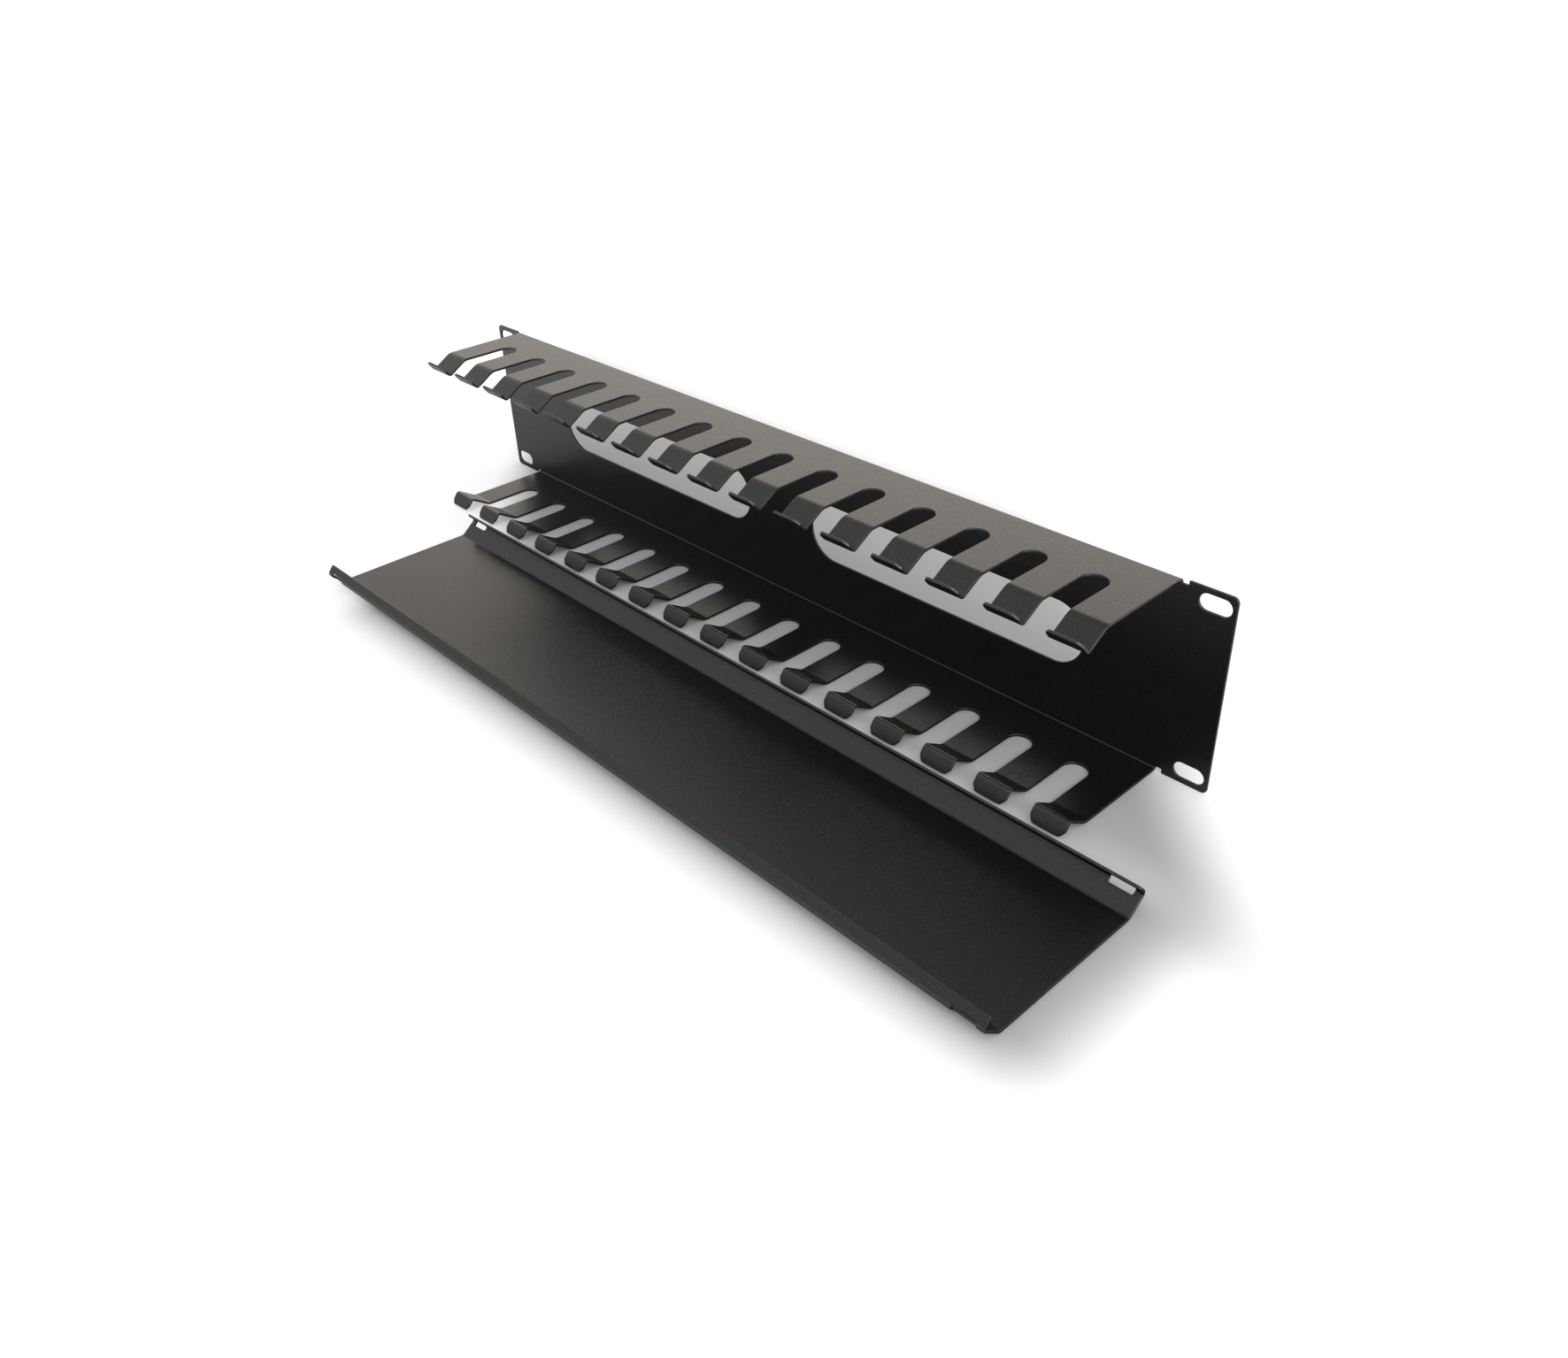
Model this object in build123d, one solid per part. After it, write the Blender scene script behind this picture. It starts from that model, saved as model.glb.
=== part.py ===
from build123d import *
import math
import os

# Horizontal cable manager for a 19-inch rack, two rack units high, in millimetres.
# Two folded steel sheets: a finger duct that bolts to the rack rails, and a clip-on
# cover that lies in front of it with its inner side up.
# +X runs along the rack's width, the front faces -Y, and +Z is up.
# The origin is the middle of the box around both sheets, at the surface they lie on.

# Sheet and bends
sheet_thickness = 1.2
flange_bend_inside = 0.8
knee_bend_inside = 2.8
groove_bend_inside = 0.8
cover_bend_inside = 1.0

# Rack panel: the back plate with its two ears
panel_width = 482.6
panel_height = 88.1
ear_width = 23.05
ear_corner_radius = 2.5
ear_notch_width = 2.7

# Rack slots in the ears: their middles from the panel's ends, and from its top and bottom
rack_slot_from_end = 8.75
rack_slot_from_edge = 5.95
rack_slot_length = 13.5
rack_slot_width = 7.0

# Cable windows in the back plate, both round-ended
window_length = 156.7
window_height = 28.6
window_gap = 44.6

# Finger comb of the upper and lower flange
finger_count = 16
finger_gap = 11.5
gap_root_depth = 18.0

# Finger profile, as depths in front of the back plate and drops from the flange's outer face
knee_depth = 47.0
groove_depth = 57.0
groove_drop = 6.0
tip_depth = 61.2
tip_drop = 0.8
tip_clip_width = 2.0
tip_clip_length = 2.8

# Cover, seen in section across its length
cover_clearance = 0.1
cover_lip_out = 8.0
cover_lip_up = 6.4
cover_hook_in = 3.2
cover_hook_up = 3.6
cover_hook_corner_radius = 0.6

# Latch slots of the cover, one near each end of each folded edge
latch_slot_length = 10.4
latch_slot_end_margin = 3.4
latch_slot_on_lip = 1.5
latch_slot_lip_radius = 0.9
latch_slot_hook_radius = 0.5

# Where the taken-off cover lies: to the right of the duct's middle, and in front of its fingers
cover_lying_right = 41.6
cover_lying_gap = 10.75

# A cutting tool runs this far past the sheet that it cuts
overcut = 1.5

# Values that follow from the ones above
panel_middle = panel_height / 2
duct_width = panel_width - 2 * ear_width
duct_half = duct_width / 2
finger_pitch = (duct_width + finger_gap) / finger_count
flange_bend_outside = flange_bend_inside + sheet_thickness
knee_bend_outside = knee_bend_inside + sheet_thickness
cover_bend_half = panel_middle - tip_drop + cover_clearance
cover_bend_height = sheet_thickness + cover_lip_up
cover_panel_half = cover_bend_half - cover_lip_out


def unit(vector):
    """Returns the direction of a vector in the YZ section."""
    length = math.hypot(*vector)
    return (vector[0] / length, vector[1] / length)


def along(point, direction, distance):
    """Returns the point that lies at a distance along a direction in the section."""
    return (point[0] + direction[0] * distance, point[1] + direction[1] * distance)


def bend_run(radius, one_way, other_way):
    """Returns the distance from a corner to where its round bend meets the flat sheet."""
    cosine = one_way[0] * other_way[0] + one_way[1] * other_way[1]
    return radius / math.tan(math.acos(cosine) / 2)


def folded_strip(section_points, bend_radii, width, thickness_side):
    """Makes a folded sheet: the section line with round bends, thickened to one side."""
    with BuildPart() as strip:
        with BuildSketch(Plane.YZ):
            with BuildLine():
                FilletPolyline(*section_points, radius=bend_radii)
                offset(amount=sheet_thickness, side=thickness_side)
            make_face()
        extrude(amount=width / 2, both=True)
    return strip.part


def duct_section():
    """Outer line of the duct: lower finger tip, lower flange, back plate, upper flange, upper tip."""
    lower = [
        (-tip_depth, tip_drop),
        (-groove_depth, groove_drop),
        (-knee_depth, 0),
        (sheet_thickness, 0),
    ]
    upper = [(depth, panel_height - drop) for depth, drop in reversed(lower)]
    half_radii = [groove_bend_inside, knee_bend_outside, flange_bend_outside]
    return lower + upper, half_radii + half_radii[::-1]


def rack_plate():
    """Back plate with its ears, notched beside the flanges' bends."""
    with BuildPart() as plate:
        with BuildSketch(Plane.XZ.offset(-sheet_thickness)):
            with Locations((0, panel_middle)):
                outline = Rectangle(panel_width, panel_height)
            fillet(outline.vertices(), ear_corner_radius)
            notch_span = duct_width + 2 * ear_notch_width
            with Locations((0, 0), (0, panel_height)):
                Rectangle(notch_span, 2 * flange_bend_outside, mode=Mode.SUBTRACT)
        extrude(amount=sheet_thickness)
    return plate.part


def plate_openings():
    """Cutters for the two cable windows and the four rack slots."""
    window_centre = (window_gap + window_length) / 2
    slot_spacing_x = panel_width - 2 * rack_slot_from_end
    slot_spacing_z = panel_height - 2 * rack_slot_from_edge
    with BuildPart() as cutters:
        with BuildSketch(Plane.XZ.offset(-sheet_thickness - overcut)):
            with Locations((-window_centre, panel_middle), (window_centre, panel_middle)):
                SlotOverall(window_length, window_height)
            with Locations((0, panel_middle)):
                with GridLocations(slot_spacing_x, slot_spacing_z, 2, 2):
                    SlotOverall(rack_slot_length, rack_slot_width)
        extrude(amount=sheet_thickness + 2 * overcut)
    return cutters.part


def finger_gaps():
    """Cutters for the round-rooted gaps, each through the lower and the upper flange."""
    root_centre = -(gap_root_depth + finger_gap / 2)
    gap_front = -(tip_depth + sheet_thickness + overcut)
    with BuildPart() as cutters:
        with BuildSketch(Plane.XY.offset(-overcut)):
            with Locations((0, root_centre)):
                with GridLocations(finger_pitch, 0, finger_count - 1, 1):
                    Circle(finger_gap / 2)
            with Locations((0, (root_centre + gap_front) / 2)):
                with GridLocations(finger_pitch, 0, finger_count - 1, 1):
                    Rectangle(finger_gap, root_centre - gap_front)
        extrude(amount=panel_height + 2 * overcut)
    return cutters.part


def tip_clips(upper):
    """Cutters that clip both corners of every finger tip, square to the upturned lip."""
    side = -1 if upper else 1
    tip_z = panel_height - tip_drop if upper else tip_drop
    lip = unit((groove_depth - tip_depth, side * (tip_drop - groove_drop)))
    lip_plane = Plane(
        origin=(0, -tip_depth, tip_z), x_dir=(1, 0, 0), z_dir=(0, -lip[1], lip[0])
    )
    gap_half = finger_gap / 2
    outline = [
        (-gap_half - tip_clip_width, overcut),
        (-gap_half - tip_clip_width, 0),
        (-gap_half, -tip_clip_length),
        (gap_half, -tip_clip_length),
        (gap_half + tip_clip_width, 0),
        (gap_half + tip_clip_width, overcut),
    ]
    with BuildPart() as cutters:
        with BuildSketch(lip_plane):
            with GridLocations(finger_pitch, 0, finger_count + 1, 1):
                Polygon(*outline, align=None)
        extrude(amount=sheet_thickness + overcut, both=True)
    return cutters.part


def finger_duct():
    """The folded duct: back plate with ears, and a comb of fingers above and below."""
    points, radii = duct_section()
    duct = folded_strip(points, radii, duct_width, Side.LEFT) + rack_plate()
    duct -= plate_openings()
    duct -= finger_gaps()
    duct -= tip_clips(upper=False)
    duct -= tip_clips(upper=True)
    return duct


def cover_section():
    """Inner line of the cover: front hook, front lip, panel, rear lip, rear hook."""
    half = [
        (cover_panel_half, sheet_thickness),
        (cover_bend_half, cover_bend_height),
        (cover_bend_half - cover_hook_in, cover_bend_height + cover_hook_up),
    ]
    front = [(-y, z) for y, z in reversed(half)]
    return front + half


def latch_slot(side_x, side_y):
    """Cutter for one latch slot: it runs from the lip round the bend to the hook."""
    bend = (cover_bend_half, cover_bend_height)
    lip = unit((-cover_lip_out, -cover_lip_up))
    hook = unit((-cover_hook_in, cover_hook_up))
    lip_out = (-lip[1], lip[0])
    hook_out = (hook[1], -hook[0])
    run = bend_run(cover_bend_inside, lip, hook)
    on_lip = along(bend, lip, run + latch_slot_on_lip)
    on_hook = along(bend, hook, run)
    reach = sheet_thickness + overcut
    outline = [
        along(on_lip, lip_out, -overcut),
        along(on_lip, lip_out, reach),
        along(bend, unit((lip[0] + hook[0], lip[1] + hook[1])), -2 * reach),
        along(on_hook, hook_out, reach),
        along(on_hook, hook_out, -overcut),
    ]
    start = duct_half - latch_slot_end_margin - latch_slot_length
    with BuildPart() as cutter:
        with BuildSketch(Plane.YZ.offset(start)):
            Polygon(*outline, align=None)
        extrude(amount=latch_slot_length)
        lip_wall = Axis((0, 0, 0), (0, *lip_out))
        hook_wall = Axis((0, 0, 0), (0, *hook_out))
        fillet(cutter.edges().filter_by(lip_wall), latch_slot_lip_radius)
        fillet(cutter.edges().filter_by(hook_wall), latch_slot_hook_radius)
    slot = cutter.part
    if side_x < 0:
        slot = mirror(slot, about=Plane.YZ)
    if side_y < 0:
        slot = mirror(slot, about=Plane.XZ)
    return slot


def snap_cover():
    """The folded cover: a flat panel whose long edges flare out and hook back in."""
    radii = [cover_bend_inside] * 4
    cover = folded_strip(cover_section(), radii, duct_width, Side.RIGHT)
    hook_ends = cover.faces().sort_by(Axis.Z)[-2:]
    hook_corners = hook_ends.edges().filter_by(Axis.X, reverse=True)
    cover = fillet(hook_corners, cover_hook_corner_radius)
    for side_x in (-1, 1):
        for side_y in (-1, 1):
            cover -= latch_slot(side_x, side_y)
    return cover


def main():
    duct = finger_duct()
    cover_y = -(tip_depth + cover_lying_gap + cover_bend_half)
    cover = Pos(cover_lying_right, cover_y, 0) * snap_cover()
    around = Compound([duct, cover]).bounding_box()
    to_origin = Pos(-around.center().X, -around.center().Y, 0)
    os.makedirs("parts", exist_ok=True)
    export_step(to_origin * duct, "parts/finger_duct.step")
    export_step(to_origin * cover, "parts/snap_cover.step")


main()
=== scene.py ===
import math

import bpy
import numpy as np
from mathutils import Matrix, Vector
from mathutils.geometry import delaunay_2d_cdt


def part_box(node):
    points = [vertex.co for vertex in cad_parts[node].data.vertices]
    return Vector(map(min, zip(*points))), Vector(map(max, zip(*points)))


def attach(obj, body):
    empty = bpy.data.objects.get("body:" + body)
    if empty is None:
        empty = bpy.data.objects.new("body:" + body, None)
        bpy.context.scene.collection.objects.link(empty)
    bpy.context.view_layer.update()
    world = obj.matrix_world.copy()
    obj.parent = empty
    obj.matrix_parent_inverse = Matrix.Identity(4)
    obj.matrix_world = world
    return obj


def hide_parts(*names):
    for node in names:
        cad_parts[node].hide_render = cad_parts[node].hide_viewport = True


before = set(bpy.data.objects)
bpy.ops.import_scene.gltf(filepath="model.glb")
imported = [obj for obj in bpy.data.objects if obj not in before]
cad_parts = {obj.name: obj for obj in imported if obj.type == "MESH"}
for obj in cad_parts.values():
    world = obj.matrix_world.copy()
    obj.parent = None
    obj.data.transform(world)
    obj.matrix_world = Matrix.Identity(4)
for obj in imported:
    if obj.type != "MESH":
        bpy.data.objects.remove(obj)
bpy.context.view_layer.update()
duct_low, duct_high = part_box("finger_duct")
cover_low, cover_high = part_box("snap_cover")

# Each sheet is drawn as its flat blank first, in millimetres: x runs along the rack's width and
# s along the fold line, from one long edge of the blank to the other. Then it is folded.
mm = 0.001
tiny = 1e-6

# Sheet, and the rounds of its outline's corners
sheet = 1.2
corner_round = 0.45
notch_round = 0.25
tip_round = 1.8

# Cut edges: the round that the powder coat leaves, the steps it is drawn in, and the share of
# the coat that is worn off there, which is partly wear and partly a painted highlight. Bends with
# an outer radius under tight_bend wear as well, with the same painted highlight.
edge_round = 0.35
edge_steps = 4
edge_wear_and_highlight = 0.4
tight_bend = 2.3

# How finely curves are drawn: the furthest that a chord of a cut line sags and the most that it
# turns, the most that a fold turns from one bend line to the next, and the gap that bend lines
# keep from the rounds of the cut edges
cut_sag = 0.008
cut_turn = math.pi / 8
fold_turn = math.radians(7.5)
line_gap = 0.05

# Duct, with the sizes that the solids have
panel_width = (duct_high.x - duct_low.x) / mm
panel_height = (duct_high.z - duct_low.z) / mm
ear_width = 23.05
ear_corner = 2.5
ear_notch = 2.7
slot_from_end = 8.75
slot_from_edge = 5.95
slot_length = 13.5
slot_width = 7.0
window_length = 156.7
window_height = 28.6
window_gap = 44.6
finger_count = 16
finger_gap = 11.5
root_depth = 18.0
knee_depth = 47.0
groove_depth = 57.0
groove_drop = 6.0
tip_depth = 61.2
tip_drop = 0.8
clip_width = 2.0
clip_length = 2.8
flange_bend = 2.0
groove_bend = 0.8

# Cover, with the sizes that the solids have
cover_hook_bend = 1.0
cover_lip_out = 8.0
cover_lip_up = 6.4
cover_hook_in = 3.2
cover_hook_up = 3.6
cover_hook_corner = 0.6
latch_length = 10.4
latch_from_end = 3.4
latch_on_lip = 1.5
latch_lip_corner = 0.9
latch_hook_corner = 0.5
cover_clearance = 0.1

# Two shallow bends are softer than the solids' are, by less than 0.2 in place
knee_bend = 7.0
cover_lip_bend = 3.0

# The back plate's number among the stretches of the duct's fold line, which are, from 0 on, lip,
# groove bend, ramp, knee, flange, flange bend and plate. From plane_margin outside the flanges
# on, the blank stays in the plate's plane.
plate_stretch = 6
plane_margin = 0.1

# Values that follow
half_width = panel_width / 2 - ear_width
pitch = (2 * half_width + finger_gap) / finger_count
finger_width = pitch - finger_gap
cover_bend_half = panel_height / 2 - tip_drop + cover_clearance
line_reach = edge_round + line_gap
duct_middle_x = (duct_low.x + duct_high.x) / 2
duct_front_y = duct_high.y - sheet * mm
cover_middle_x = (cover_low.x + cover_high.x) / 2
cover_middle_y = (cover_low.y + cover_high.y) / 2


def in_turn(first, second):
    """Rows of two arrays, taken in turn."""
    return np.stack([first, second], 1).reshape(-1, *first.shape[1:])


class Path:
    """A line of straight runs joined by round corners, open or closed.

    Each corner is replaced by an arc that starts and ends at radius * tan(turn / 2) from it. The
    line is kept as stretches of constant curvature: a straight stretch has none, an arc has
    1 / radius to the left. A point at run r on a stretch lies r * sin(h) / h from the stretch's
    start, where h is half the angle turned by then, in the direction of the mean heading.
    """

    def __init__(self, corners, radii, closed=False):
        corners = np.asarray(corners, float)
        radii = np.asarray(radii, float)
        if closed:
            before, middle, after = np.roll(corners, 1, 0), corners, np.roll(corners, -1, 0)
        else:
            before, middle, after = corners[:-2], corners[1:-1], corners[2:]
        way_in, way_out = middle - before, after - middle
        heading_in = np.arctan2(way_in[:, 1], way_in[:, 0])
        heading_out = np.arctan2(way_out[:, 1], way_out[:, 0])
        turn = (heading_out - heading_in + np.pi) % (2 * np.pi) - np.pi
        cut = radii * np.tan(np.abs(turn) / 2)
        unit_in = np.stack([np.cos(heading_in), np.sin(heading_in)], 1)
        unit_out = np.stack([np.cos(heading_out), np.sin(heading_out)], 1)
        arc_start = middle - unit_in * cut[:, None]
        arc_end = middle + unit_out * cut[:, None]
        arc_length = radii * np.abs(turn)
        curvature = np.where(radii > 0, np.sign(turn) / np.maximum(radii, tiny), 0)
        straight = np.zeros(len(curvature))
        if closed:
            run_length = np.linalg.norm(np.roll(arc_start, -1, 0) - arc_end, axis=1)
            points = in_turn(arc_start, arc_end)
            lengths = in_turn(arc_length, run_length)
            headings = in_turn(heading_in, heading_out)
            curvatures = in_turn(curvature, straight)
        else:
            run_start = np.vstack([corners[:1], arc_end])
            run_end = np.vstack([arc_start, corners[-1:]])
            run_length = np.linalg.norm(run_end - run_start, axis=1)
            points = np.vstack([in_turn(run_start[:-1], arc_start), run_start[-1:]])
            lengths = np.append(in_turn(run_length[:-1], arc_length), run_length[-1])
            headings = np.append(np.repeat(heading_in, 2), heading_out[-1])
            curvatures = np.append(in_turn(straight, curvature), 0)
        real = lengths > tiny
        self.points, self.lengths = points[real], lengths[real]
        self.headings, self.curvatures = headings[real], curvatures[real]
        self.starts = np.append(0, np.cumsum(self.lengths))[:-1]
        self.length = self.lengths.sum()

    def stretch_at(self, s):
        """Numbers of the stretches that the lengths s lie on."""
        return np.clip(np.searchsorted(self.starts, s, side="right") - 1, 0, None)

    def at(self, s, stretch=None):
        """Points and headings at the lengths s; a stretch may be forced, to run on straight."""
        if stretch is None:
            stretch = self.stretch_at(s)
        run = s - self.starts[stretch]
        half_turn = self.curvatures[stretch] * run / 2
        mean = self.headings[stretch] + half_turn
        chord = run * np.sinc(half_turn / np.pi)
        ahead = np.stack([np.cos(mean), np.sin(mean)], -1)
        return self.points[stretch] + chord[..., None] * ahead, mean + half_turn

    def steps(self):
        """Lengths of all stretch ends, and so many within each arc that no chord sags further.

        A chord of an arc of radius r that turns by a sags by about r * a * a / 8.
        """
        turned = np.abs(self.curvatures * self.lengths)
        angle = np.minimum(np.sqrt(8 * cut_sag * np.abs(self.curvatures)), cut_turn)
        parts = np.maximum(np.ceil(turned / np.maximum(angle, tiny) - tiny), 1).astype(int)
        marks = [
            start + length * np.arange(n) / n
            for start, length, n in zip(self.starts, self.lengths, parts)
        ]
        return np.concatenate(marks)

    def worn_and_highlit(self, s, side, depth):
        """How far the coat is thinned at the lengths s, on the face at a depth in the sheet.

        It is the sine of pi times the share of the arc that is passed, on the outer face of
        tight bends, and nothing elsewhere. The outer face is the first one where the line turns
        towards the sheet, and the far one where it turns away. The lighter grey that this share
        gives the coat is partly wear and partly a painted highlight.
        """
        stretch = self.stretch_at(s)
        curvature = self.curvatures[stretch] * side
        far = depth > sheet / 2
        radius = 1 / np.maximum(np.abs(curvature), tiny) + sheet * far
        outer = (np.where(far, -curvature, curvature) > 0) & (radius < tight_bend)
        share = (s - self.starts[stretch]) / self.lengths[stretch]
        return outer * np.sin(math.pi * np.clip(share, 0, 1))

    def bend_marks(self):
        """Lengths at both ends of the arcs and inside them, where a folded sheet needs a line."""
        bent = np.flatnonzero(self.curvatures)
        turned = np.abs(self.curvatures * self.lengths)[bent]
        parts = np.ceil(turned / fold_turn - tiny).astype(int)
        marks = [
            self.starts[k] + self.lengths[k] * np.arange(n + 1) / n for k, n in zip(bent, parts)
        ]
        return np.concatenate(marks)


def blank_outline(corners, radii, marks):
    """A closed cut line of the flat blank, as points with their inward normals.

    The line is walked with a point at each end of every stretch and along its round corners.
    Straight stretches along s also get a point at each bend mark that they cross.
    """
    path = Path(corners, radii, closed=True)
    lengths = [path.steps()]
    along_s = np.abs(np.abs(np.sin(path.headings)) - 1) < tiny
    for k in np.flatnonzero(along_s & (path.curvatures == 0)):
        run = (marks - path.points[k, 1]) * np.sign(np.sin(path.headings[k]))
        inside = (run > edge_round) & (run < path.lengths[k] - edge_round)
        lengths.append(path.starts[k] + run[inside])
    digits = 7
    points, heading = path.at(np.unique(np.round(np.concatenate(lengths), digits)))
    inward = np.stack([-np.sin(heading), np.cos(heading)], 1)
    return points, inward


def inside_loops(points, loops):
    """Even-odd test of many points against closed loops.

    A point is inside where a ray from it towards +x crosses the loops an odd number of times.
    """
    inside = np.zeros(len(points), bool)
    px, py = points[:, 0][:, None], points[:, 1][:, None]
    for loop in loops:
        a, b = loop, np.roll(loop, -1, 0)
        spans = (a[:, 1] <= py) != (b[:, 1] <= py)
        rise = np.where(a[:, 1] == b[:, 1], 1, b[:, 1] - a[:, 1])
        cross_x = a[:, 0] + (py - a[:, 1]) / rise * (b[:, 0] - a[:, 0])
        inside ^= (spans & (px < cross_x)).sum(1) % 2 == 1
    return inside


def fill_blank(loops, lines):
    """Triangles over the blank inside its loops, with the bend lines as edges.

    Returns the points, those of the loops first, and the triangles, all counter-clockwise.
    """
    points = np.vstack(loops + lines)
    edges, start = [], 0
    for loop in loops:
        n = len(loop)
        ring = np.arange(n)
        edges += np.stack([start + ring, start + (ring + 1) % n], 1).tolist()
        start += n
    for line in lines:
        edges.append([start, start + 1])
        start += len(line)
    made = delaunay_2d_cdt([Vector(p) for p in points.tolist()], edges, [], 0, tiny, True)
    flat = np.array([v[:] for v in made[0]])
    source = np.array([origins[0] for origins in made[3]])
    triangles = np.array(made[2])
    keep = inside_loops(flat[triangles].mean(1), loops)
    triangles = source[triangles[keep]]
    a, b, c = (points[triangles[:, k]] for k in range(3))
    ab, ac = b - a, c - a
    turned = ab[:, 0] * ac[:, 1] - ab[:, 1] * ac[:, 0] < 0
    triangles[turned] = triangles[turned][:, ::-1]
    return points, triangles


def folded_sheet(name, fold, side, place, outlines, lines, plane_stretch=None, plane_from=None):
    """A folded sheet with softly rounded cut edges, as one closed mesh.

    A point of the blank at (x, s) and depth d below its first face goes to x along the rack, and
    in section to the fold line's point at s, moved by d along the line's normal. The edge of
    every cut line is a profile carried along it: a quarter round of radius edge_round, a straight
    wall and another quarter round. Beyond plane_from in x the sheet runs on in the plane of one
    stretch of the fold line, as the ears do.
    """
    angle = np.linspace(0, math.pi / 2, edge_steps + 1)
    inset = edge_round * np.concatenate([1 - np.sin(angle), 1 - np.cos(angle)])
    depth = edge_round * (1 - np.cos(angle))
    depth = np.concatenate([depth, sheet - edge_round + edge_round * np.sin(angle)])
    out_way = np.concatenate([np.sin(angle), np.cos(angle)])
    down_way = np.concatenate([-np.cos(angle), np.sin(angle)])

    def fold_up(x, s, d, out_x, out_s, down):
        """Places blank points and directions in the row frame."""
        stretch = fold.stretch_at(s)
        if plane_from is not None:
            stretch = np.where(np.abs(x) > plane_from, plane_stretch, stretch)
        point, heading = fold.at(s, stretch)
        normal = side * np.stack([-np.sin(heading), np.cos(heading)], -1)
        section = point + normal * d[..., None]
        vertex = np.concatenate([x[..., None], section], -1) * mm + place
        ahead = np.stack([np.cos(heading), np.sin(heading)], -1)
        around = ahead * out_s[..., None] + normal * down[..., None]
        way = np.concatenate([out_x[..., None], around], -1)
        vertices.append(vertex.reshape(-1, 3))
        normals.append(way.reshape(-1, 3))

    vertices, normals, wear_and_highlight, quads, rims = [], [], [], [], []
    total = 0
    rows = len(inset)
    for points, inward in outlines:
        n = len(points)
        spot = points[:, None] + inward[:, None] * inset[None, :, None]
        out = -inward[:, None] * out_way[None, :, None]
        d = np.broadcast_to(depth, (n, rows))
        down = np.broadcast_to(down_way, (n, rows))
        fold_up(spot[..., 0], spot[..., 1], d, out[..., 0], out[..., 1], down)
        # Lighter grey share: partly wear, partly a painted highlight on cut edges and tight bends
        wear_and_highlight.append(np.maximum(fold.worn_and_highlit(spot[..., 1], side, d), edge_wear_and_highlight * out_way).ravel())
        at = total + np.arange(n * rows).reshape(n, rows)
        after = np.roll(at, -1, 0)
        around = [at[:, :-1], at[:, 1:], after[:, 1:], after[:, :-1]]
        quads.append(np.stack(around, -1).reshape(-1, 4))
        rims.append((spot[:, 0], at[:, 0], at[:, -1]))
        total += n * rows
    loops, first_rims, far_rims = (list(part) for part in zip(*rims))
    flat, triangles = fill_blank(loops, lines)
    extra = flat[sum(len(loop) for loop in loops):]
    ones = np.ones(len(extra))
    tris = []
    for rim, d, down in ((first_rims, 0 * ones, -ones), (far_rims, sheet * ones, ones)):
        fold_up(extra[:, 0], extra[:, 1], d, 0 * ones, 0 * ones, down)
        wear_and_highlight.append(fold.worn_and_highlit(extra[:, 1], side, d))
        index = np.concatenate(rim + [total + np.arange(len(extra))])
        tris.append(index[triangles])
        total += len(extra)
    vertices, normals = np.vstack(vertices), np.vstack(normals)

    def outward(faces):
        """Turns each face so that it looks the way its corners' normals do."""
        faces = np.vstack(faces)
        a, b, c = (vertices[faces[:, k]] for k in range(3))
        flipped = (np.cross(b - a, c - a) * normals[faces].mean(1)).sum(1) < 0
        faces[flipped] = faces[flipped][:, ::-1]
        return faces.tolist()

    mesh = bpy.data.meshes.new(name)
    mesh.from_pydata(vertices.tolist(), [], outward(quads) + outward(tris))
    mesh.polygons.foreach_set("use_smooth", np.ones(len(mesh.polygons), bool))
    # This attribute carries both the wear and the painted highlight to the coat
    thinned_and_highlit = mesh.attributes.new("wear_and_highlight", "FLOAT", "POINT")
    thinned_and_highlit.data.foreach_set("value", np.concatenate(wear_and_highlight).astype(np.float32))
    mesh.normals_split_custom_set_from_vertices(normals.tolist())
    mesh.update()
    piece = bpy.data.objects.new(name, mesh)
    bpy.context.scene.collection.objects.link(piece)
    return piece


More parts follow.
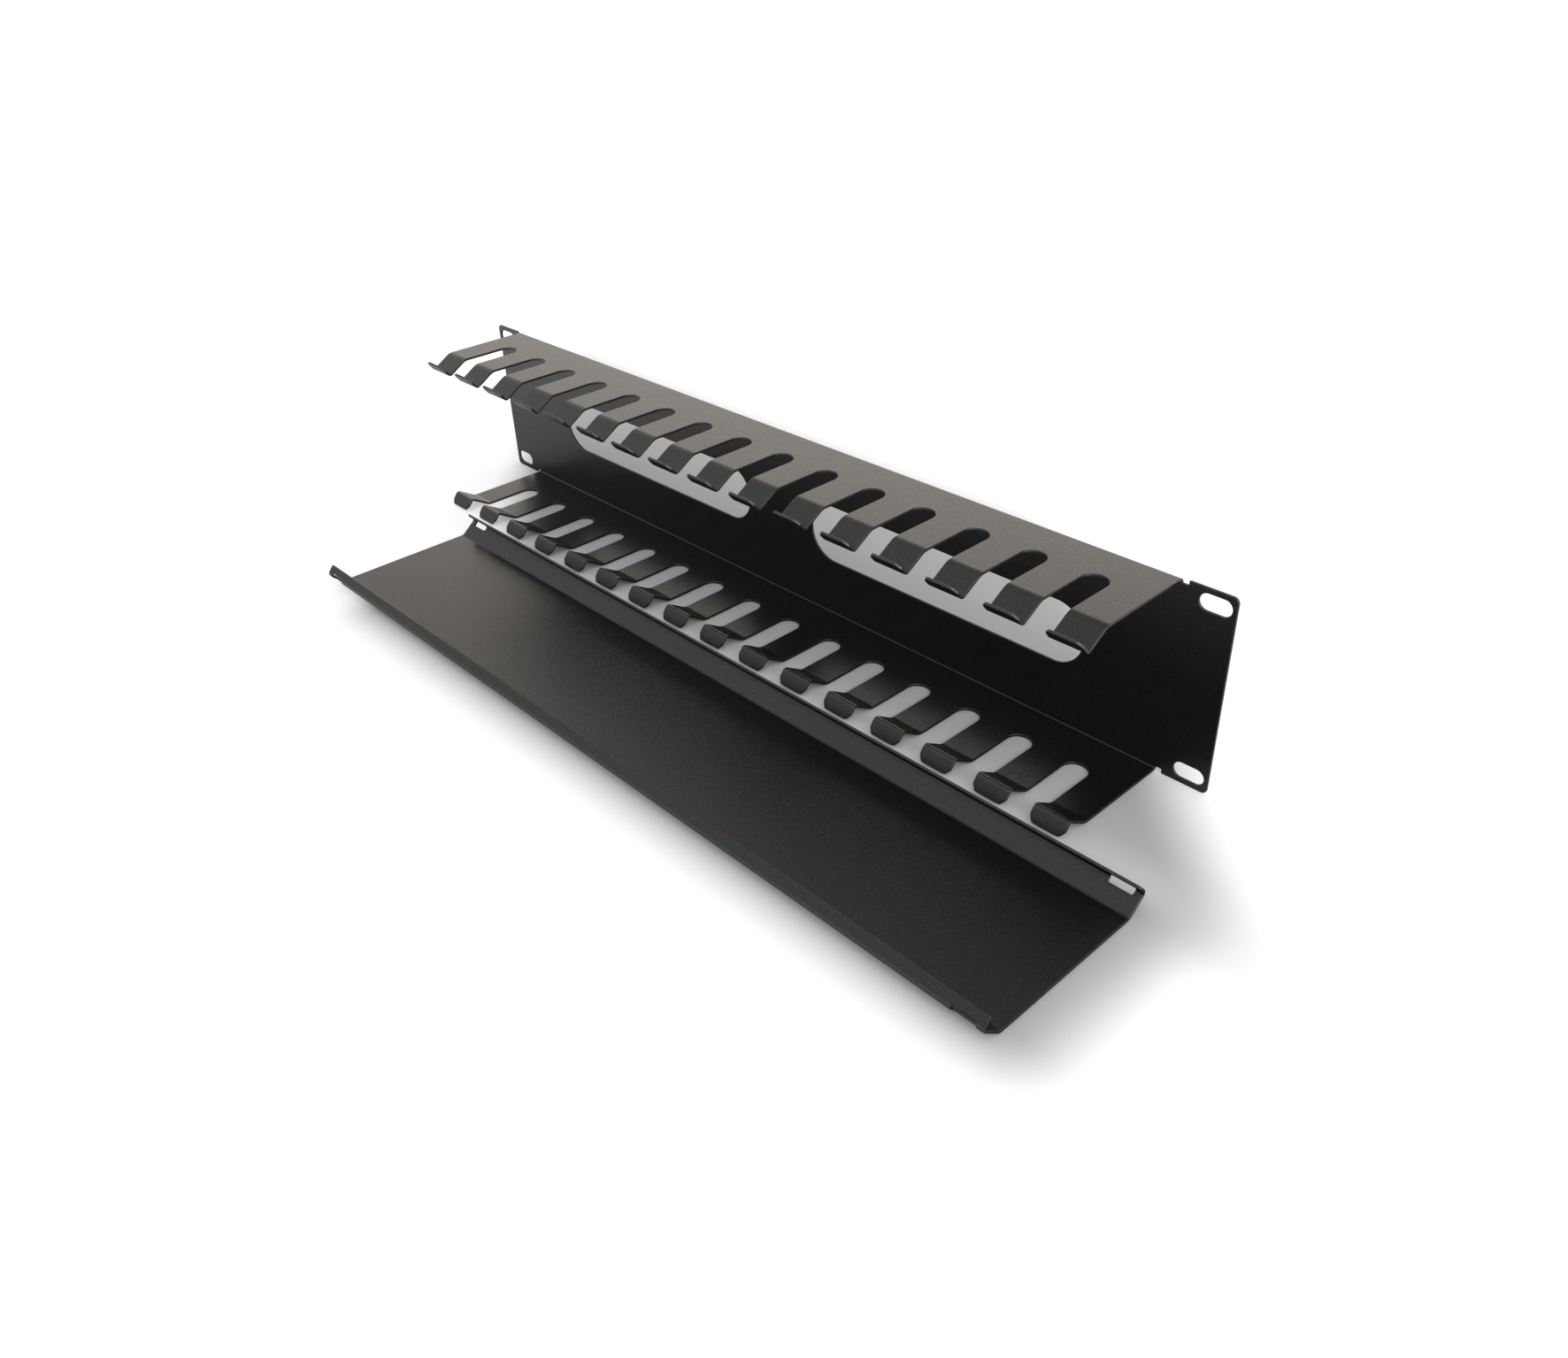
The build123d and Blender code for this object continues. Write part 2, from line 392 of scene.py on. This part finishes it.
def duct_blank(fold):
    """Cut lines and bend lines of the duct's blank.

    The outline goes counter-clockwise: along the lower fingers, up the right side and round the
    right ear, back along the upper fingers, and down round the left ear.
    """
    long_edge = fold.length
    plate_start = fold.starts[plate_stretch]
    plate_end = plate_start + fold.lengths[plate_stretch]
    plate_middle = (plate_start + plate_end) / 2
    gap_top = plate_start - flange_bend * math.pi / 2 - (root_depth - flange_bend + sheet)
    lefts = [-half_width + k * pitch for k in range(finger_count)]
    marks = fold.bend_marks()

    def comb(way):
        """Corners of the fingers of one long edge, from -x to +x, and their rounds."""
        tip = 0 if way > 0 else long_edge
        ring = []
        for left in lefts:
            right = left + finger_width
            ring += [
                (left, tip + way * clip_length),
                (left + clip_width, tip),
                (right - clip_width, tip),
                (right, tip + way * clip_length),
                (right, tip + way * gap_top),
                (right + finger_gap, tip + way * gap_top),
            ]
        rounds = ([tip_round] * 4 + [finger_gap / 2] * 2) * finger_count
        return ring[:-2], rounds[:-2]

    def oblong(x, s, length, height):
        """A clockwise round-ended hole, which keeps a hair's breadth of straight end."""
        a, b = length / 2, height / 2
        hair = 1e-4
        box = [(x - a, s - b), (x - a, s + b), (x + a, s + b), (x + a, s - b)]
        return blank_outline(box, [b - hair] * 4, marks)

    low_ring, low_rounds = comb(1)
    high_ring, high_rounds = comb(-1)
    ear_x = half_width + ear_notch
    end_x = panel_width / 2
    right_side = [
        (half_width, plate_start),
        (ear_x, plate_start),
        (ear_x, plate_start - flange_bend),
        (end_x, plate_start - flange_bend),
        (end_x, plate_end + flange_bend),
        (ear_x, plate_end + flange_bend),
        (ear_x, plate_end),
        (half_width, plate_end),
    ]
    side_rounds = [notch_round, corner_round, corner_round, ear_corner]
    side_rounds += side_rounds[::-1]
    left_side = [(-x, s) for x, s in reversed(right_side)]
    corners = low_ring + right_side + high_ring[::-1] + left_side
    radii = low_rounds + side_rounds + high_rounds[::-1] + side_rounds
    outlines = [blank_outline(corners, radii, marks)]

    window_x = (window_gap + window_length) / 2
    slot_x = panel_width / 2 - slot_from_end
    slot_s = panel_height / 2 - slot_from_edge
    for way in (-1, 1):
        outlines.append(oblong(way * window_x, plate_middle, window_length, window_height))
        for up in (-1, 1):
            s = plate_middle + up * slot_s
            outlines.append(oblong(way * slot_x, s, slot_length, slot_width))

    on_fingers = (marks < gap_top) | (marks > long_edge - gap_top)
    side = half_width - line_reach
    lines = [np.array([(-side, s), (side, s)]) for s in marks[~on_fingers]]
    lines += [
        np.array([(left + line_reach, s), (left + finger_width - line_reach, s)])
        for left in lefts
        for s in marks[on_fingers]
    ]
    return outlines, lines


def build_duct():
    """The duct: back plate with ears, and the two flanges with their fingers, from one blank."""
    lower = [(-tip_depth, tip_drop), (-groove_depth, groove_drop), (-knee_depth, 0), (sheet, 0)]
    upper = [(y, panel_height - z) for y, z in reversed(lower)]
    rounds = [groove_bend, knee_bend, flange_bend]
    fold = Path(lower + upper, rounds + rounds[::-1])
    place = np.array([duct_middle_x, duct_front_y, duct_low.z])
    plane = {"plane_stretch": plate_stretch, "plane_from": half_width + plane_margin}
    piece = folded_sheet("duct_sheet", fold, 1, place, *duct_blank(fold), **plane)
    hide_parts("finger_duct")
    return piece


def cover_blank(fold):
    """Cut lines of the cover's blank, its outline and the four latch slots, and bend lines.

    A slot starts where the hook's bend does, goes round it and ends on the lip. Bend lines near
    the slots are broken there.
    """
    long_edge = fold.length
    marks = fold.bend_marks()
    side = half_width
    box = [(-side, 0), (side, 0), (side, long_edge), (-side, long_edge)]
    outlines = [blank_outline(box, [cover_hook_corner] * 4, marks)]
    latch_far = side - latch_from_end
    latch_near = latch_far - latch_length
    on_hook = fold.starts[1]
    on_lip = fold.starts[2] + latch_on_lip
    latches = (
        (on_hook, on_lip, latch_hook_corner, latch_lip_corner),
        (long_edge - on_lip, long_edge - on_hook, latch_lip_corner, latch_hook_corner),
    )
    for x0, x1 in ((-latch_far, -latch_near), (latch_near, latch_far)):
        for s0, s1, low, high in latches:
            hole = [(x0, s0), (x0, s1), (x1, s1), (x1, s0)]
            outlines.append(blank_outline(hole, [low, high, high, low], marks))
    lines = []
    for s in marks:
        stops = [-side, side]
        if on_hook - line_reach < min(s, long_edge - s) < on_lip + line_reach:
            stops[1:1] = [-latch_far, -latch_near, latch_near, latch_far]
        for a, b in zip(stops[::2], stops[1::2]):
            lines.append(np.array([(a + line_reach, s), (b - line_reach, s)]))
    return outlines, lines


def build_cover():
    """The cover: flat panel, flared lips and hooks, with four latch slots, from one blank."""
    bend_height = sheet + cover_lip_up
    half = [
        (cover_bend_half - cover_lip_out, sheet),
        (cover_bend_half, bend_height),
        (cover_bend_half - cover_hook_in, bend_height + cover_hook_up),
    ]
    front = [(-y, z) for y, z in reversed(half)]
    rounds = [cover_hook_bend, cover_lip_bend]
    fold = Path(front + half, rounds + rounds[::-1])
    place = np.array([cover_middle_x, cover_middle_y, cover_low.z])
    piece = folded_sheet("cover_sheet", fold, -1, place, *cover_blank(fold))
    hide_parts("snap_cover")
    return piece


class Value:
    """A socket of a finish, which Python's arithmetic turns into Math nodes."""

    def __init__(self, finish, socket):
        self.finish = finish
        self.socket = socket

    def math(self, operation, *inputs):
        return self.finish.node("ShaderNodeMath", {"operation": operation}, *inputs)

    def __add__(self, other):
        return self.math("ADD", self, other)

    __radd__ = __add__

    def __sub__(self, other):
        return self.math("SUBTRACT", self, other)

    def __rsub__(self, other):
        return self.math("SUBTRACT", other, self)

    def __mul__(self, other):
        return self.math("MULTIPLY", self, other)

    __rmul__ = __mul__

    def __pow__(self, other):
        return self.math("POWER", self, other)

    def __rpow__(self, other):
        return self.math("POWER", other, self)

    def size(self):
        return self.math("ABSOLUTE", self)

    def at_least(self, other):
        return self.math("MAXIMUM", self, other)

    def clamp(self):
        return self.finish.node("ShaderNodeClamp", {}, self)


class Finish:
    """The node tree of a material or of the world, with one way to add a node."""

    def __init__(self, owner):
        owner.use_nodes = True
        self.tree = owner.node_tree
        self.tree.nodes.clear()

    def node(self, kind, settings=None, *inputs, out=0, **named):
        """Adds a node: its settings first, then its inputs by order or by name."""
        made = self.tree.nodes.new(kind)
        for key, value in (settings or {}).items():
            setattr(made, key, value)
        for key, value in list(enumerate(inputs)) + list(named.items()):
            if value is None:
                continue
            socket = made.inputs[key.replace("_", " ") if isinstance(key, str) else key]
            if isinstance(value, Value):
                self.tree.links.new(value.socket, socket)
            else:
                socket.default_value = value
        return Value(self, made.outputs[out] if made.outputs else None)

    def mix(self, share, first, second):
        """A colour that goes from the first to the second; five sockets are for other types."""
        other_types = [None] * 5
        settings = {"data_type": "RGBA"}
        return self.node("ShaderNodeMix", settings, share, *other_types, first, second, out=2)


black = (0, 0, 0, 1)
white = (1, 1, 1, 1)

# Powder coat: its colour where it is whole and where it is worn, which is partly a painted
# highlight, its gloss and that of its specks, how far grain, mottle and wear move the gloss, and
# the share and depth of the grain
whole_coat = (0.003, 0.003, 0.0031, 1)
worn_coat_and_highlight = (0.018, 0.019, 0.02, 1)
satin_roughness = 0.3
satin_ior = 1.82
matte_roughness = 0.44
matte_ior = 1.5
grain_roughness = 0.4
mottle_roughness = 0.04
worn_roughness = 0.4
grain_share = 0.7
grain_depth = 0.00006


def powder_coat():
    """Satin black powder coat: fine grain with matte specks, smooth and a little grey at edges.

    The noises' scales are per metre, and their middle is 0.5. Grain and peel raise the surface,
    grain and mottle move the roughness, patches break up the grey of the worn edges, and specks
    lie matte between. That grey on edges and tight bends is partly wear and partly a painted
    highlight.
    """
    material = bpy.data.materials.new("powder_coat")
    f = Finish(material)
    place = f.node("ShaderNodeTexCoord", out=3)

    def noise(scale, detail, roughness=0.5):
        return f.node(
            "ShaderNodeTexNoise", {}, place, Scale=scale, Detail=detail, Roughness=roughness
        )

    grain = noise(2300, 1)
    peel = noise(800, 1)
    mottle = noise(22, 3, 0.55)
    patch = noise(260, 2, 0.6)
    speck = noise(4300, 1)
    thinned_and_highlit = f.node("ShaderNodeAttribute", {"attribute_name": "wear_and_highlight"}, out=2)
    # Lighter grey on edges and tight bends: partly wear, partly a painted highlight
    worn_and_highlit = thinned_and_highlit * (patch * 2 - 0.4).clamp()
    rough = satin_roughness + (grain - 0.5) * grain_roughness
    rough = rough + (mottle - 0.5) * mottle_roughness + thinned_and_highlit * (1 - thinned_and_highlit) * worn_roughness
    height = (grain * grain_share + peel * (1 - grain_share)) * (1 - thinned_and_highlit)
    bump = f.node("ShaderNodeBump", {}, Strength=1.0, Distance=grain_depth, Height=height)
    tone = f.mix(worn_and_highlit, f.mix(grain.clamp(), black, whole_coat), worn_coat_and_highlight)

    def shine(roughness, ior):
        return f.node(
            "ShaderNodeBsdfPrincipled", {}, Base_Color=tone, Roughness=roughness, IOR=ior,
            Normal=bump,
        )

    satin = shine(rough.clamp(), satin_ior)
    matte = shine(matte_roughness, matte_ior)
    specks = ((speck - 0.38) * 3 - thinned_and_highlit).clamp()
    surface = f.node("ShaderNodeMixShader", {}, specks, satin, matte)
    f.node("ShaderNodeOutputMaterial", {}, surface)
    return material


# Floor: a disc just under the sheets, in metres, its paper's colour, painted shades and glow
floor_radius = 12
floor_rim_points = 64
floor_below = 0.0002
open_paper = (0.72, 0.72, 0.72, 1)
# The next two colours are painted shade: darker paper near the sheets, near black for gloss
painted_shade_paper = (0.54, 0.54, 0.55, 1)
gloss_painted_shade_paper = (0.08, 0.08, 0.08, 1)
light_behind = (0.5, 0.5, 0.5, 1)

# Where a soft shadow is painted on the floor, in metres: under the duct and behind it, along a
# slant to the left, and under the cover. Gloss sees the light behind the paper only further off
# the duct.
duct_painted_shadow_slant = 1.1
duct_painted_shadow_middle = (0.074, 0.115)
duct_painted_shadow_half = (0.199, 0.075)
duct_painted_shadow_fade = 0.06
cover_painted_shadow_middle = (0.055, -0.033)
cover_painted_shadow_half = (0.197, 0.033)
cover_painted_shadow_fade = 0.035
gloss_painted_shadow_from = 0.1
gloss_painted_shadow_to = 0.5


def white_floor():
    """White floor: it shades as paper does, and the eye and gloss see it lit from behind as well.

    The light from behind is full on the open floor, and fades out over the rounded distance from
    two rectangles: the length of what is left of |x| and |y| there. This paints a soft shadow
    under and behind the duct and under the cover, where the paper's colour is darker as painted
    shade too.
    Gloss sees the light further off, and sees near black paper painted as shade under the duct.
    """
    material = bpy.data.materials.new("floor_paper")
    f = Finish(material)
    place = f.node("ShaderNodeTexCoord", out=3)
    across, back = (f.node("ShaderNodeSeparateXYZ", {}, place, out=k) for k in range(2))
    camera, glossy, transmission = (f.node("ShaderNodeLightPath", out=k) for k in (0, 3, 6))

    def distance(x, middle, half):
        beside = ((x - middle[0]).size() - half[0]).at_least(0)
        beyond = ((back - middle[1]).size() - half[1]).at_least(0)
        return (beside**2 + beyond**2) ** 0.5

    def rise(value, low, high):
        smooth = {"interpolation_type": "SMOOTHSTEP"}
        return f.node("ShaderNodeMapRange", smooth, value, low, high, 0, 1)

    # These distances set where a soft shadow is painted: glow and paper fade near the sheets
    from_duct = distance(across + back * duct_painted_shadow_slant, duct_painted_shadow_middle, duct_painted_shadow_half)
    from_cover = distance(across, cover_painted_shadow_middle, cover_painted_shadow_half)
    outside_painted_shadow = rise(from_duct, 0, duct_painted_shadow_fade) * rise(from_cover, 0, cover_painted_shadow_fade)
    gloss_outside_painted_shadow = rise(from_duct, gloss_painted_shadow_from, gloss_painted_shadow_to)
    seen = camera * outside_painted_shadow + (glossy + transmission) * gloss_outside_painted_shadow
    # Painted shade: paper darker near the sheets, and near black for gloss under the duct
    tone = f.mix(outside_painted_shadow, f.mix(glossy, painted_shade_paper, gloss_painted_shade_paper), open_paper)
    paper = f.node("ShaderNodeBsdfDiffuse", {}, tone)
    lift = f.node("ShaderNodeEmission", {}, f.mix(seen, black, light_behind), 1.0)
    f.node("ShaderNodeOutputMaterial", {}, f.node("ShaderNodeAddShader", {}, paper, lift))
    return material


def build_floor():
    """A wide flat disc just under the sheets: its rim is a circle of evenly spaced points."""
    turns = np.linspace(0, 2 * math.pi, floor_rim_points, endpoint=False)
    circle = [floor_radius * np.cos(turns), floor_radius * np.sin(turns), 0 * turns - floor_below]
    mesh = bpy.data.meshes.new("floor")
    mesh.from_pydata(np.stack(circle, 1).tolist(), [], [list(range(floor_rim_points))])
    floor = bpy.data.objects.new("floor", mesh)
    bpy.context.scene.collection.objects.link(floor)
    mesh.materials.append(white_floor())


# Studio room: the light of its walls, the ways to the bright wall and the window, the power that
# gathers the wall's light, and the heights or leans where both end and how fast they fade
room_light = (0.27, 0.28, 0.28, 1)
wall_light = (2.38, 2.18, 1.97, 1)
wall_way = (-0.31, 0.95)
wall_power = 3.0
wall_top = 0.66
wall_fade = 4.5
window_light = (0.62, 0.66, 0.68, 1)
window_way = (-0.5, -0.47, 0.73)
window_edge = 0.62
window_fade = 2.7


def light_world():
    """Studio room: a warm wall behind, a cool window high at the front left, dim elsewhere.

    The wall's share is ((1 + a) / 2) ** wall_power, where a is how far a direction leans towards
    the wall, and it fades out between 26 and 41 degrees of elevation. The window fades out from 9
    to 52 degrees off its middle. The camera sees white.
    """
    world = bpy.data.worlds.new("studio")
    bpy.context.scene.world = world
    f = Finish(world)
    way = f.node("ShaderNodeTexCoord", out=0)
    across, back, up = (f.node("ShaderNodeSeparateXYZ", {}, way, out=k) for k in range(3))
    lean = across * wall_way[0] + back * wall_way[1]
    wall = (lean * 0.5 + 0.5).clamp() ** wall_power * ((wall_top - up) * wall_fade).clamp()
    to_window = across * window_way[0] + back * window_way[1] + up * window_way[2]
    window = ((to_window - window_edge) * window_fade).clamp()
    colour = f.mix(wall, f.mix(window, room_light, window_light), wall_light)
    room = f.node("ShaderNodeBackground", {}, colour, 1.0)
    backdrop = f.node("ShaderNodeBackground", {}, white, 1.0)
    camera = f.node("ShaderNodeLightPath", out=0)
    f.node("ShaderNodeOutputWorld", {}, f.node("ShaderNodeMixShader", {}, camera, room, backdrop))


def add_sun(name, way, strength, spread, tint):
    """A distant lamp with a wide disc: it lights the whole floor evenly, with soft shadows."""
    lamp = bpy.data.lights.new(name, "SUN")
    lamp.energy = strength
    lamp.angle = spread
    lamp.color = tint
    holder = bpy.data.objects.new(name, lamp)
    holder.matrix_world = Vector(way).to_track_quat("Z", "Y").to_matrix().to_4x4()
    bpy.context.scene.collection.objects.link(holder)


def add_softbox(name, place, target, width, height, watts, tint):
    """A rectangular lamp that looks at a target, unseen by the camera itself."""
    lamp = bpy.data.lights.new(name, "AREA")
    lamp.shape = "RECTANGLE"
    lamp.size, lamp.size_y = width, height
    lamp.energy = watts
    lamp.color = tint
    holder = bpy.data.objects.new(name, lamp)
    turn = (Vector(target) - Vector(place)).to_track_quat("-Z", "Y").to_matrix().to_4x4()
    holder.matrix_world = Matrix.Translation(place) @ turn
    holder.visible_camera = False
    bpy.context.scene.collection.objects.link(holder)


# The photograph's camera, from the panel's known size: place in millimetres from the middle of
# the back plate's front face at floor level, its heading, and its lens
camera_place = (425.33, -385.59, 318.71)
camera_azimuth = math.radians(47.808)
camera_elevation = math.radians(31.994)
camera_roll = math.radians(2.321)
camera_lens = 29.5415
camera_sensor = 36
camera_shift = (-0.00124, -0.01412)
camera_reach = 100


def add_camera():
    """The camera: heading by azimuth and elevation, then rolled about its line of sight."""
    camera = bpy.data.cameras.new("camera")
    camera.lens = camera_lens
    camera.sensor_width = camera_sensor
    camera.shift_x, camera.shift_y = camera_shift
    camera.clip_end = camera_reach
    level = math.cos(camera_elevation)
    ahead = Vector(
        (
            -math.sin(camera_azimuth) * level,
            math.cos(camera_azimuth) * level,
            -math.sin(camera_elevation),
        )
    )
    right = ahead.cross(Vector((0, 0, 1))).normalized()
    down = ahead.cross(right)
    turned_right = right * math.cos(camera_roll) + down * math.sin(camera_roll)
    turned_down = down * math.cos(camera_roll) - right * math.sin(camera_roll)
    turn = Matrix((turned_right, -turned_down, -ahead)).transposed().to_4x4()
    origin = Vector((duct_middle_x, duct_front_y, duct_low.z))
    holder = bpy.data.objects.new("camera", camera)
    holder.matrix_world = Matrix.Translation(origin + Vector(camera_place) * mm) @ turn
    bpy.context.scene.collection.objects.link(holder)
    bpy.context.scene.camera = holder


coat = powder_coat()
for piece in (build_duct(), build_cover()):
    piece.data.materials.append(coat)
    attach(piece, "root")
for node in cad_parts.values():
    node.data.materials.clear()
    node.data.materials.append(coat)

build_floor()
light_world()
add_sun(
    "overhead", way=(0.45, -0.45, 0.77), strength=1.0, spread=math.radians(40),
    tint=(0.98, 0.99, 1),
)
add_softbox(
    "side_box", place=(1.37, -0.14, 0.66), target=(0, 0, 0.05), width=0.65, height=0.55,
    watts=5, tint=(1, 0.97, 0.93),
)
add_camera()
bpy.context.scene.view_settings.view_transform = "Standard"
